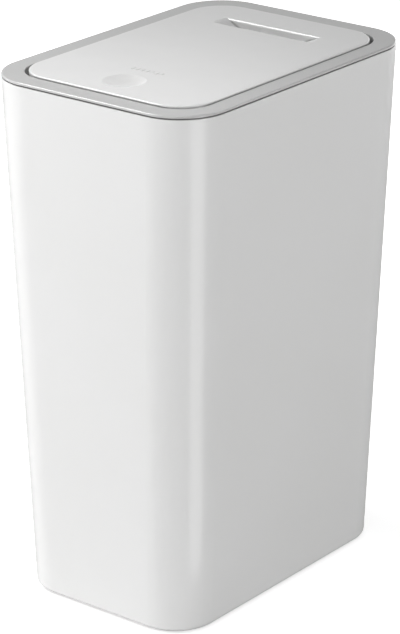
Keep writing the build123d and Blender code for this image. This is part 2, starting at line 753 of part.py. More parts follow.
torsion_spring_right.part.label = "torsion_spring_right"
export_step(torsion_spring_right.part, "parts/torsion_spring_right.step")
torsion_spring_left.part.label = "torsion_spring_left"
export_step(torsion_spring_left.part, "parts/torsion_spring_left.step")
print("torsion spring, least gap:", round(coil_gap(coil_place, coil_turns, coil_wire), 2), "mm")


# ---------------------------------------------------------------- latch
housing_back_y = -open_half_y
housing_places = [
    (x, pocket_front_y, z)
    for x in (-(pocket_half_x + housing_half_x) / 2, (pocket_half_x + housing_half_x) / 2)
    for z in (housing_z + housing_screw_inset, latch_z - housing_screw_inset)
]
pocket_back_y = pocket_front_y - pocket_y

with BuildPart() as latch_housing:
    with BuildSketch(Plane.XY.offset(housing_z)):
        with Locations((0, housing_back_y)):
            Rectangle(
                2 * housing_half_x,
                pocket_front_y - housing_back_y,
                align=(Align.CENTER, Align.MIN),
            )
    extrude(amount=housing_height)
    # ears that take the mounting screws
    with BuildSketch(Plane.XZ.offset(-housing_back_y)):
        with Locations((0, mount_screw_z)):
            RectangleRounded(2 * ear_half_x, ear_height, plate_corner)
    extrude(amount=-housing_back)
    # pocket for the slider, open at its mouth and towards the cover
    with BuildSketch(Plane.XY.offset(pocket_floor_z)):
        with Locations((0, pocket_back_y)):
            Rectangle(2 * pocket_half_x, pocket_y + 1, align=(Align.CENTER, Align.MIN))
    extrude(amount=housing_height, mode=Mode.SUBTRACT)
    with Locations(*housing_places):
        with Locations(Location((0, 0, 0), (90, 0, 0))):
            Cylinder(
                small_screw_radius + running,
                2 * (small_screw_length - cover_plate) + 1,
                mode=Mode.SUBTRACT,
            )
    with BuildSketch(Plane.XZ.offset(-housing_back_y - housing_back)):
        with GridLocations(2 * mount_screw_x, 1, 2, 1):
            with Locations((0, mount_screw_z)):
                Circle(screw_radius + running)
    extrude(amount=2 * housing_back, mode=Mode.SUBTRACT)
    for x in (-mount_screw_x, mount_screw_x):
        with Locations(Location((x, housing_back_y + housing_back + running, mount_screw_z), (90, 0, 0))):
            add(
                screw(
                    screw_radius + running,
                    screw_head_radius + running,
                    screw_head_height + running,
                    2 * housing_back,
                ),
                mode=Mode.SUBTRACT,
            )

latch_housing.part.label = "latch_housing"
export_step(latch_housing.part, "parts/latch_housing.step")

with BuildPart() as latch_screws:
    for x in (-mount_screw_x, mount_screw_x):
        with Locations(Location((x, housing_back_y + housing_back, mount_screw_z), (90, 0, 0))):
            add(
                screw(
                    screw_radius,
                    screw_head_radius,
                    screw_head_height,
                    housing_back + well_wall + latch_screw_grip,
                )
            )

latch_screws.part.label = "latch_screws"
export_step(latch_screws.part, "parts/latch_screws.step")

cover_out_y = pocket_front_y + cover_plate
with BuildPart() as latch_cover:
    with BuildSketch(Plane.XZ.offset(-pocket_front_y)):
        with Locations((0, housing_z + housing_height / 2)):
            RectangleRounded(2 * housing_half_x, housing_height, plate_corner)
    extrude(amount=-cover_plate)
    # channel in which the cam pin swings, and the pivot hole at its foot
    with BuildSketch(Plane.XZ.offset(-pocket_front_y)):
        with Locations((0, (cam_pivot_z + cam_tip_z) / 2)):
            RectangleRounded(2 * cam_channel_half, cam_arm + 3 * cam_wire, cam_wire)
    extrude(amount=-cam_channel_depth, mode=Mode.SUBTRACT)
    with BuildSketch(Plane.XZ.offset(-pocket_front_y)):
        with Locations((0, cam_pivot_z)):
            Circle(cam_wire / 2 + running)
    extrude(amount=-cover_plate, mode=Mode.SUBTRACT)
    for x, y, z in housing_places:
        with Locations(Location((x, cover_out_y + running, z), (90, 0, 0))):
            add(
                screw(
                    small_screw_radius + running,
                    small_head_radius + running,
                    small_head_height + running,
                    small_screw_length,
                ),
                mode=Mode.SUBTRACT,
            )

latch_cover.part.label = "latch_cover"
export_step(latch_cover.part, "parts/latch_cover.step")

with BuildPart() as latch_cover_screws:
    for x, y, z in housing_places:
        with Locations(Location((x, cover_out_y, z), (90, 0, 0))):
            add(
                screw(
                    small_screw_radius,
                    small_head_radius,
                    small_head_height,
                    small_screw_length,
                )
            )

latch_cover_screws.part.label = "latch_cover_screws"
export_step(latch_cover_screws.part, "parts/latch_cover_screws.step")

# slider: a block with two hooked fingers above, a spring bore below and the cam track in its face
slider_half_x = pocket_half_x - sliding
slider_half_y = pocket_y / 2 - sliding
finger_top_z = neck_end_z + catch_gap + finger_tip
finger_in_x = slider_half_x - finger_wall
hook_in_x = finger_in_x - finger_hook
track_y = latch_y + slider_half_y

with BuildPart() as latch_slider:
    with BuildSketch(Plane.XZ.offset(-latch_y)):
        for side in (-1, 1):
            Polygon(
                (side * slider_half_x, slider_top_z - 1),
                (side * slider_half_x, finger_top_z - finger_wall / 2),
                (side * (slider_half_x - finger_wall / 2), finger_top_z),
                (side * (hook_in_x + finger_tip / 2), finger_top_z),
                (side * hook_in_x, finger_top_z - finger_tip / 2),
                (side * hook_in_x, neck_end_z + catch_gap),
                (side * finger_in_x, neck_end_z + catch_gap),
                (side * finger_in_x, slider_top_z - 1),
                align=None,
            )
        with Locations((0, slider_z)):
            Rectangle(2 * slider_half_x, slider_body, align=(Align.CENTER, Align.MIN))
    extrude(amount=slider_half_y, both=True)
    with Locations((0, spring_y, slider_z)):
        Cylinder(
            spring_radius + spring_wire / 2 + sliding,
            slider_bore_depth,
            align=(Align.CENTER, Align.CENTER, Align.MIN),
            mode=Mode.SUBTRACT,
        )
    # cam track: a loop round a heart, in whose notch the pin's tip rests
    with BuildSketch(Plane.XZ.offset(-track_y)):
        with Locations((0, cam_tip_z + (track_up - track_down) / 2)):
            RectangleRounded(2 * track_half, track_up + track_down, track_corner)
        with Locations((0, cam_tip_z)):
            Polygon(
                (0, -heart_notch),
                (heart_half, heart_shoulder),
                (heart_half, -heart_side),
                (0, -heart_point),
                (-heart_half, -heart_side),
                (-heart_half, heart_shoulder),
                align=None,
                mode=Mode.SUBTRACT,
            )
    extrude(amount=cam_depth, mode=Mode.SUBTRACT)

latch_slider.part.label = "latch_slider"
export_step(latch_slider.part, "parts/latch_slider.step")

# cam pin: wire bent to a C, its foot in the cover and its tip in the track
with BuildPart() as latch_cam_pin:
    with BuildLine() as wire:
        FilletPolyline(
            (0, cover_out_y - running, cam_pivot_z),
            (0, cam_pin_y, cam_pivot_z),
            (0, cam_pin_y, cam_tip_z),
            (0, track_y - cam_depth + seat, cam_tip_z),
            radius=cam_bend,
        )
    with BuildSketch(Plane(origin=(0, cover_out_y - running, cam_pivot_z), z_dir=(0, -1, 0))):
        Circle(cam_wire / 2)
    sweep(path=wire.line)

latch_cam_pin.part.label = "latch_cam_pin"
export_step(latch_cam_pin.part, "parts/latch_cam_pin.step")

# spring under the slider
spring_foot_z = pocket_floor_z + spring_wire / 2
spring_head_z = slider_z + slider_bore_depth - spring_wire / 2
spring_wound = 2 * pi * spring_turns
spring_rise = (spring_head_z - spring_foot_z) / spring_wound


def spring_place(share):
    """A place on the latch spring, from its foot."""
    angle = share * spring_wound
    return Vector(
        spring_radius * cos(angle),
        spring_y + spring_radius * sin(angle),
        spring_foot_z + spring_rise * angle,
    )


def spring_along(share):
    """The wire's direction at that place."""
    angle = share * spring_wound
    return Vector(-spring_radius * sin(angle), spring_radius * cos(angle), spring_rise).normalized()


with BuildPart() as latch_spring:
    with BuildLine() as wire:
        coil(spring_place, spring_along, 4 * spring_turns)
    with BuildSketch(Plane(origin=spring_place(0), z_dir=spring_along(0))):
        Circle(spring_wire / 2)
    sweep(path=wire.line)

latch_spring.part.label = "latch_spring"
export_step(latch_spring.part, "parts/latch_spring.step")
print("latch spring, least gap:", round(coil_gap(spring_place, spring_turns, spring_wire), 2), "mm")
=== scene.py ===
from math import cos, pi, radians, sin

import bmesh
import bpy
from mathutils import Matrix, Quaternion, Vector


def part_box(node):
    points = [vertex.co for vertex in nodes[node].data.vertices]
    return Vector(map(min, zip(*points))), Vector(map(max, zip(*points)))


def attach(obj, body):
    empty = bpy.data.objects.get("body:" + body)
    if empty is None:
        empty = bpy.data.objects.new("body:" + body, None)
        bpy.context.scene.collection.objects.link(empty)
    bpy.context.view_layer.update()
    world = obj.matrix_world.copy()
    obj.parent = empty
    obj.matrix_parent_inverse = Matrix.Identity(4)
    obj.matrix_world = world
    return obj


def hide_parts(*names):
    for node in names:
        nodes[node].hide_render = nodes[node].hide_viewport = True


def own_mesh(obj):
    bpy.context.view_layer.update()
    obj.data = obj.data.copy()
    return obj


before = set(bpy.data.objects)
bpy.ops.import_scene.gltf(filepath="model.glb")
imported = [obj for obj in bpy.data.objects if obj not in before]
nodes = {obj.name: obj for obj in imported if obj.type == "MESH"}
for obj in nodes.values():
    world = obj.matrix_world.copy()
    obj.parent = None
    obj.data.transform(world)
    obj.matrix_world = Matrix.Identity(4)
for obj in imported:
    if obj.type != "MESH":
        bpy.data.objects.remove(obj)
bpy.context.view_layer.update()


# ---------------------------------------------------------------- rubber feet
# Four round pads of thermoplastic rubber, pressed into pockets under the bucket's corners. They
# are moulded with a matt, slightly grained face, so that the bin doesn't slide when it is pressed.
mm = 0.001  # in metres, which are the unit of every length below that doesn't say otherwise


def linear(hex_colour):
    """An sRGB hex colour as linear RGBA."""
    shares = [int(hex_colour[i : i + 2], 16) / 255 for i in (0, 2, 4)]
    return [s / 12.92 if s <= 0.04045 else ((s + 0.055) / 1.055) ** 2.4 for s in shares] + [1.0]


def add_node(tree, kind, inputs=None, **settings):
    """Add a node. Its inputs are plain values, or other nodes' outputs, which are linked."""
    made = tree.nodes.new(kind)
    for name, value in settings.items():
        setattr(made, name, value)
    for name, value in (inputs or {}).items():
        if isinstance(value, bpy.types.NodeSocket):
            tree.links.new(value, made.inputs[name])
        else:
            made.inputs[name].default_value = value
    return made


def new_tree(name):
    """An empty material, and its node tree."""
    material = bpy.data.materials.new(name)
    material.use_nodes = True
    material.node_tree.nodes.clear()
    return material, material.node_tree


def coat(node, material):
    """Give a CAD node this finish."""
    for slot in nodes[node].material_slots:
        slot.material = material


def thermoplastic_rubber():
    """Matt moulded rubber: a fine grain from the eroded mould, and a powdery bloom here and there.

    The real grain is about 0.1 mm, too fine to show, so it is drawn five times as coarse."""
    bare, bloomed = linear("8a8a89"), linear("989897")
    grain_size, grain_depth, bloom_size = 0.5 * mm, 0.06 * mm, 9.0 * mm
    material, tree = new_tree("moulded_thermoplastic_rubber")
    place = add_node(tree, "ShaderNodeTexCoord").outputs["Object"]
    bloom = add_node(
        tree, "ShaderNodeTexNoise", {"Vector": place, "Scale": 1 / bloom_size, "Detail": 3.0}
    )
    colour = add_node(
        tree,
        "ShaderNodeMix",
        {"Factor": bloom.outputs["Fac"], "A": bare, "B": bloomed},
        data_type="RGBA",
    )
    grain = add_node(
        tree, "ShaderNodeTexNoise", {"Vector": place, "Scale": 1 / grain_size, "Detail": 2.0}
    )
    bump = add_node(
        tree,
        "ShaderNodeBump",
        {"Height": grain.outputs["Fac"], "Strength": 0.35, "Distance": grain_depth},
    )
    shader = add_node(
        tree,
        "ShaderNodeBsdfPrincipled",
        {
            "Base Color": colour.outputs["Result"],
            "Normal": bump.outputs["Normal"],
            "Roughness": 0.82,
            "IOR": 1.5,
        },
    )
    add_node(tree, "ShaderNodeOutputMaterial", {"Surface": shader.outputs["BSDF"]})
    return material


rubber = thermoplastic_rubber()
coat("anti_slip_feet", rubber)


# ---------------------------------------------------------------- bucket
# The tapered white bucket, one thin polypropylene moulding with a hollow under its floor. Its
# mould is polished, so it keeps a gloss, with the faint orange peel of the cooled skin.
noise_low, noise_high = 0.3, 0.7  # most of a noise pattern lies between these
polypropylene_ior = 1.49


def painted_gap_shade(tree, colour):
    """Painted shade: the colour, darkened in gaps and crevices a millimetre or two wide, where
    shade falls.
    """
    # The dark grey is the colour of the painted shade at the bottom of a gap.
    gap_shade_colour, gap, depth, rays = linear("5c5b59"), 2.0 * mm, 1.1, 16
    near = add_node(
        tree,
        "ShaderNodeAmbientOcclusion",
        {"Color": (1, 1, 1, 1), "Distance": gap},
        samples=rays,
    )
    share = add_node(tree, "ShaderNodeMath", {0: near.outputs["AO"], 1: depth}, operation="POWER")
    gap_shaded = add_node(
        tree,
        "ShaderNodeMix",
        {"Factor": share.outputs[0], "A": gap_shade_colour, "B": colour},
        data_type="RGBA",
    )
    return gap_shaded.outputs["Result"]


def glossy_polypropylene():
    """Polished-mould white polypropylene: a soft gloss over a barely wavy skin, and faint flow."""
    white, whiter = linear("efefee"), linear("f2f2f2")
    peel_size, peel_depth, flow_size, haze_size = 7.0 * mm, 0.02 * mm, 90.0 * mm, 22.0 * mm
    clear_roughness, hazy_roughness = 0.2, 0.26
    material, tree = new_tree("moulded_polypropylene_gloss_white")
    place = add_node(tree, "ShaderNodeTexCoord").outputs["Object"]
    flow = add_node(
        tree, "ShaderNodeTexNoise", {"Vector": place, "Scale": 1 / flow_size, "Detail": 2.0}
    )
    colour = add_node(
        tree,
        "ShaderNodeMix",
        {"Factor": flow.outputs["Fac"], "A": white, "B": whiter},
        data_type="RGBA",
    )
    haze = add_node(
        tree, "ShaderNodeTexNoise", {"Vector": place, "Scale": 1 / haze_size, "Detail": 4.0}
    )
    roughness = add_node(
        tree,
        "ShaderNodeMapRange",
        {
            "Value": haze.outputs["Fac"],
            "From Min": noise_low,
            "From Max": noise_high,
            "To Min": clear_roughness,
            "To Max": hazy_roughness,
        },
    )
    peel = add_node(
        tree, "ShaderNodeTexNoise", {"Vector": place, "Scale": 1 / peel_size, "Detail": 1.0}
    )
    bump = add_node(
        tree,
        "ShaderNodeBump",
        {"Height": peel.outputs["Fac"], "Strength": 0.25, "Distance": peel_depth},
    )
    shader = add_node(
        tree,
        "ShaderNodeBsdfPrincipled",
        {
            # The base colour carries painted shade in its gaps.
            "Base Color": painted_gap_shade(tree, colour.outputs["Result"]),
            "Normal": bump.outputs["Normal"],
            "Roughness": roughness.outputs["Result"],
            "IOR": polypropylene_ior,
        },
    )
    add_node(tree, "ShaderNodeOutputMaterial", {"Surface": shader.outputs["BSDF"]})
    return material


white_gloss = glossy_polypropylene()
coat("bin_body", white_gloss)


# ---------------------------------------------------------------- collar and bag ring
# The grey collar that lies on the bucket's mouth and carries the lid, and the hoop under it that
# holds the bag's edge. Both are polypropylene from a finely eroded mould, so they look satin.
def satin_polypropylene():
    """Grey polypropylene from an eroded mould: an even satin with a grain that is barely seen.

    The real grain is about 0.1 mm, too fine to show, so it is drawn six times as coarse."""
    grey, paler = linear("c0c0bf"), linear("c4c4c4")
    grain_size, grain_depth, flow_size = 0.6 * mm, 0.03 * mm, 60.0 * mm
    material, tree = new_tree("moulded_polypropylene_satin_grey")
    place = add_node(tree, "ShaderNodeTexCoord").outputs["Object"]
    flow = add_node(
        tree, "ShaderNodeTexNoise", {"Vector": place, "Scale": 1 / flow_size, "Detail": 2.0}
    )
    colour = add_node(
        tree,
        "ShaderNodeMix",
        {"Factor": flow.outputs["Fac"], "A": grey, "B": paler},
        data_type="RGBA",
    )
    grain = add_node(
        tree, "ShaderNodeTexNoise", {"Vector": place, "Scale": 1 / grain_size, "Detail": 2.0}
    )
    bump = add_node(
        tree,
        "ShaderNodeBump",
        {"Height": grain.outputs["Fac"], "Strength": 0.2, "Distance": grain_depth},
    )
    shader = add_node(
        tree,
        "ShaderNodeBsdfPrincipled",
        {
            # The base colour carries painted shade in its gaps.
            "Base Color": painted_gap_shade(tree, colour.outputs["Result"]),
            "Normal": bump.outputs["Normal"],
            "Roughness": 0.24,
            "IOR": polypropylene_ior,
        },
    )
    add_node(tree, "ShaderNodeOutputMaterial", {"Surface": shader.outputs["BSDF"]})
    return material


grey_satin = satin_polypropylene()
coat("bag_ring", grey_satin)
coat("rim_ring", grey_satin)


def half_of(node, name, side):
    """A merged copy of a CAD node's solids that lie in front, for side -1, or behind, for 1."""
    same_point = 1e-7
    copy = bpy.data.meshes.new(name)
    shape = bmesh.new()
    shape.from_mesh(nodes[node].data)
    bmesh.ops.remove_doubles(shape, verts=shape.verts, dist=same_point)
    others = [corner for corner in shape.verts if corner.co.y * side < 0]
    bmesh.ops.delete(shape, geom=others, context="VERTS")
    bmesh.ops.recalc_face_normals(shape, faces=shape.faces)
    shape.to_mesh(copy)
    shape.free()
    copy.materials.append(rubber)
    piece = bpy.data.objects.new(name, copy)
    bpy.context.scene.collection.objects.link(piece)
    return piece


front_buffers = half_of("lid_buffers", "front_buffers", -1)
rear_buffers = half_of("lid_buffers", "rear_buffers", 1)
for buffers in (front_buffers, rear_buffers):
    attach(buffers, "collar")
    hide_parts("lid_buffers")
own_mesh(front_buffers)


# ---------------------------------------------------------------- hinge
# A drawn steel rod across the collar, kept in its bosses by two plugs, and the two torsion
# springs of hard-drawn wire that throw the lid open.
def drawn_steel():
    """Drawn steel: bright, with fine lines along the drawing direction and a few dull patches.

    The real lines are some 0.05 mm wide, too fine to show, so they are drawn five times as wide."""
    line_width, line_depth, patch_size = 0.25 * mm, 0.02 * mm, 12.0 * mm
    line_squeeze = 0.04  # along X, the rod's length, which draws the pattern out into lines
    bright_roughness, dull_roughness = 0.24, 0.4
    material, tree = new_tree("drawn_steel")
    place = add_node(tree, "ShaderNodeTexCoord").outputs["Object"]
    stretch = add_node(
        tree, "ShaderNodeMapping", {"Vector": place, "Scale": (line_squeeze, 1.0, 1.0)}
    )
    lines = add_node(
        tree,
        "ShaderNodeTexNoise",
        {"Vector": stretch.outputs["Vector"], "Scale": 1 / line_width, "Detail": 2.0},
    )
    patch = add_node(
        tree, "ShaderNodeTexNoise", {"Vector": place, "Scale": 1 / patch_size, "Detail": 3.0}
    )
    roughness = add_node(
        tree,
        "ShaderNodeMapRange",
        {
            "Value": patch.outputs["Fac"],
            "From Min": noise_low,
            "From Max": noise_high,
            "To Min": bright_roughness,
            "To Max": dull_roughness,
        },
    )
    bump = add_node(
        tree,
        "ShaderNodeBump",
        {"Height": lines.outputs["Fac"], "Strength": 0.2, "Distance": line_depth},
    )
    shader = add_node(
        tree,
        "ShaderNodeBsdfPrincipled",
        {
            "Base Color": linear("c3c4c6"),
            "Metallic": 1.0,
            "Normal": bump.outputs["Normal"],
            "Roughness": roughness.outputs["Result"],
        },
    )
    add_node(tree, "ShaderNodeOutputMaterial", {"Surface": shader.outputs["BSDF"]})
    return material


steel = drawn_steel()
for node in ("hinge_rod", "torsion_spring_left", "torsion_spring_right", "latch_cam_pin"):
    coat(node, steel)


# ---------------------------------------------------------------- latch
# The push-push latch on the collar's front: a pocket, its cover, and the slider with two hooked
# fingers that grip the lid's striker. All are acetal, because they slide and flex so often.
def acetal():
    """Natural acetal: milky white, with a waxy sheen."""
    milk, paler = linear("dcdcd7"), linear("e3e3df")
    swirl_size = 14.0 * mm
    material, tree = new_tree("moulded_acetal_natural")
    place = add_node(tree, "ShaderNodeTexCoord").outputs["Object"]
    swirl = add_node(
        tree, "ShaderNodeTexNoise", {"Vector": place, "Scale": 1 / swirl_size, "Detail": 3.0}
    )
    colour = add_node(
        tree,
        "ShaderNodeMix",
        {"Factor": swirl.outputs["Fac"], "A": milk, "B": paler},
        data_type="RGBA",
    )
    shader = add_node(
        tree,
        "ShaderNodeBsdfPrincipled",
        {"Base Color": colour.outputs["Result"], "Roughness": 0.42, "IOR": 1.48},
    )
    add_node(tree, "ShaderNodeOutputMaterial", {"Surface": shader.outputs["BSDF"]})
    return material


milky_acetal = acetal()
for node in ("rod_plugs", "latch_housing", "latch_cover", "latch_slider", "lid_striker"):
    coat(node, milky_acetal)


# ---------------------------------------------------------------- latch spring
# The compression spring under the slider: eight turns of hard-drawn wire, with its first and last
# turn closed so that it stands square. In the latch it shortens as the lid is pressed; this coil
# is drawn at one length.
spring_turns, wire_radius, closed_pitch = 8, 0.35 * mm, 0.74 * mm


def begin_making(name, sizes):
    """A Geometry Nodes tree with named inputs for its points, sizes and finish, and the inputs."""
    tree = bpy.data.node_groups.new(name, "GeometryNodeTree")
    tree.interface.new_socket("Points", in_out="INPUT", socket_type="NodeSocketGeometry")
    for size in sizes:
        kind = "NodeSocketInt" if size == "Count" else "NodeSocketFloat"
        tree.interface.new_socket(size, in_out="INPUT", socket_type=kind)
    tree.interface.new_socket("Finish", in_out="INPUT", socket_type="NodeSocketMaterial")
    tree.interface.new_socket("Geometry", in_out="OUTPUT", socket_type="NodeSocketGeometry")
    return tree, add_node(tree, "NodeGroupInput").outputs


def end_making(tree, given, shape, **placing):
    """End the tree with the shape on each of its points, as real mesh in its finish."""
    placed = add_node(
        tree,
        "GeometryNodeInstanceOnPoints",
        {"Points": given["Points"], "Instance": shape, **placing},
    )
    real = add_node(
        tree, "GeometryNodeRealizeInstances", {"Geometry": placed.outputs["Instances"]}
    )
    finished = add_node(
        tree,
        "GeometryNodeSetMaterial",
        {"Geometry": real.outputs["Geometry"], "Material": given["Finish"]},
    )
    add_node(tree, "NodeGroupOutput", {"Geometry": finished.outputs["Geometry"]})


def spring_tree():
    """Geometry Nodes: a coil with closed ends on each point, along +Z."""
    steps_per_turn, wire_facets = 28.0, 14
    sizes = ("Turns", "Radius", "Wire Radius", "Closed Pitch", "Open Height")
    tree, given = begin_making("closed_end_spring", sizes)
    steps = add_node(
        tree, "ShaderNodeMath", {0: given["Turns"], 1: steps_per_turn}, operation="MULTIPLY"
    )
    line = add_node(tree, "GeometryNodeCurvePrimitiveLine")
    line = add_node(
        tree,
        "GeometryNodeResampleCurve",
        {"Curve": line.outputs["Curve"], "Count": steps.outputs[0]},
    )
    along = add_node(tree, "GeometryNodeSplineParameter").outputs["Factor"]
    turned = add_node(tree, "ShaderNodeMath", {0: along, 1: given["Turns"]}, operation="MULTIPLY")
    last = add_node(tree, "ShaderNodeMath", {0: given["Turns"], 1: 1.0}, operation="SUBTRACT")
    height = None
    for start, end, rise in (
        (0.0, 1.0, given["Closed Pitch"]),
        (1.0, last.outputs[0], given["Open Height"]),
        (last.outputs[0], given["Turns"], given["Closed Pitch"]),
    ):
        part = add_node(
            tree,
            "ShaderNodeMapRange",
            {"Value": turned.outputs[0], "From Min": start, "From Max": end, "To Max": rise},
        ).outputs["Result"]
        if height is None:
            height = part
        else:
            height = add_node(tree, "ShaderNodeMath", {0: height, 1: part}).outputs[0]
    angle = add_node(
        tree, "ShaderNodeMath", {0: turned.outputs[0], 1: 2 * pi}, operation="MULTIPLY"
    )
    sides = []
    for wave in ("COSINE", "SINE"):
        unit = add_node(tree, "ShaderNodeMath", {0: angle.outputs[0]}, operation=wave)
        side = add_node(
            tree, "ShaderNodeMath", {0: unit.outputs[0], 1: given["Radius"]}, operation="MULTIPLY"
        )
        sides.append(side.outputs[0])
    wound = add_node(tree, "ShaderNodeCombineXYZ", {"X": sides[0], "Y": sides[1], "Z": height})
    line = add_node(
        tree,
        "GeometryNodeSetPosition",
        {"Geometry": line.outputs["Curve"], "Position": wound.outputs[0]},
    )
    wire = add_node(
        tree,
        "GeometryNodeCurvePrimitiveCircle",
        {"Resolution": wire_facets, "Radius": given["Wire Radius"]},
    )
    coil = add_node(
        tree,
        "GeometryNodeCurveToMesh",
        {
            "Curve": line.outputs["Geometry"],
            "Profile Curve": wire.outputs["Curve"],
            "Fill Caps": True,
        },
    )
    coil = add_node(tree, "GeometryNodeSetShadeSmooth", {"Geometry": coil.outputs["Mesh"]})
    end_making(tree, given, coil.outputs["Geometry"])
    return tree


def from_tree(name, tree, places, values):
    """A plain mesh piece from a node tree, run on a mesh of loose points."""
    points = bpy.data.meshes.new(name + "_points")
    points.from_pydata(places, [], [])
    piece = bpy.data.objects.new(name, points)
    bpy.context.scene.collection.objects.link(piece)
    modifier = piece.modifiers.new(name, "NODES")
    modifier.node_group = tree
    for socket in tree.interface.items_tree:
        if socket.in_out == "INPUT" and socket.name in values:
            modifier[socket.identifier] = values[socket.name]
    depsgraph = bpy.context.evaluated_depsgraph_get()
    made = bpy.data.meshes.new_from_object(piece.evaluated_get(depsgraph), depsgraph=depsgraph)
    piece.modifiers.remove(modifier)
    piece.data = made
    return piece


spring_low, spring_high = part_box("latch_spring")
spring_height = spring_high[2] - spring_low[2]
spring_foot = (
    (spring_low[0] + spring_high[0]) / 2,
    (spring_low[1] + spring_high[1]) / 2,
    spring_low[2] + wire_radius,
)
latch_coil = from_tree(
    "latch_spring_coiled",
    spring_tree(),
    [spring_foot],
    {
        "Turns": float(spring_turns),
        "Radius": (spring_high[0] - spring_low[0]) / 2 - wire_radius,
        "Wire Radius": wire_radius,
        "Closed Pitch": closed_pitch,
        "Open Height": spring_height - 2 * wire_radius - 2 * closed_pitch,
        "Finish": steel,
    },
)
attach(latch_coil, "collar")
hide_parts("latch_spring")
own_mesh(latch_coil)


# ---------------------------------------------------------------- latch screws
# Countersunk, cross-recessed screws of zinc-plated steel that cut their own thread: two hold the
# latch to the collar's front tongue, and four small ones hold the cover plate on the pocket.
latch_screw = {  # in mm
    "head_radius": 2.3,
    "head_height": 1.1,
    "core_radius": 0.95,
    "length": 9.3,
    "turns": 8,
    "thread_depth": 0.25,
}
small_screw = {  # in mm
    "head_radius": 1.5,
    "head_height": 0.7,
    "core_radius": 0.62,
    "length": 6.0,
    "turns": 7,
    "thread_depth": 0.18,
}


def zinc_plated_steel():
    """Zinc plate on steel: bright and slightly blue, mottled by the passivation."""
    blue_zinc, pale_zinc = linear("b9bdc4"), linear("cdd0d3")
    mottle_size = 1.2 * mm
    bright_roughness, dull_roughness = 0.26, 0.42
    material, tree = new_tree("zinc_plated_steel")
    place = add_node(tree, "ShaderNodeTexCoord").outputs["Object"]
    mottle = add_node(
        tree, "ShaderNodeTexNoise", {"Vector": place, "Scale": 1 / mottle_size, "Detail": 3.0}
    )
    colour = add_node(
        tree,
        "ShaderNodeMix",
        {"Factor": mottle.outputs["Fac"], "A": blue_zinc, "B": pale_zinc},
        data_type="RGBA",
    )
    roughness = add_node(
        tree,
        "ShaderNodeMapRange",
        {
            "Value": mottle.outputs["Fac"],
            "From Min": noise_low,
            "From Max": noise_high,
            "To Min": bright_roughness,
            "To Max": dull_roughness,
        },
    )
    shader = add_node(
        tree,
        "ShaderNodeBsdfPrincipled",
        {
            "Base Color": colour.outputs["Result"],
            "Metallic": 1.0,
            "Roughness": roughness.outputs["Result"],
        },
    )
    add_node(tree, "ShaderNodeOutputMaterial", {"Surface": shader.outputs["BSDF"]})
    return material


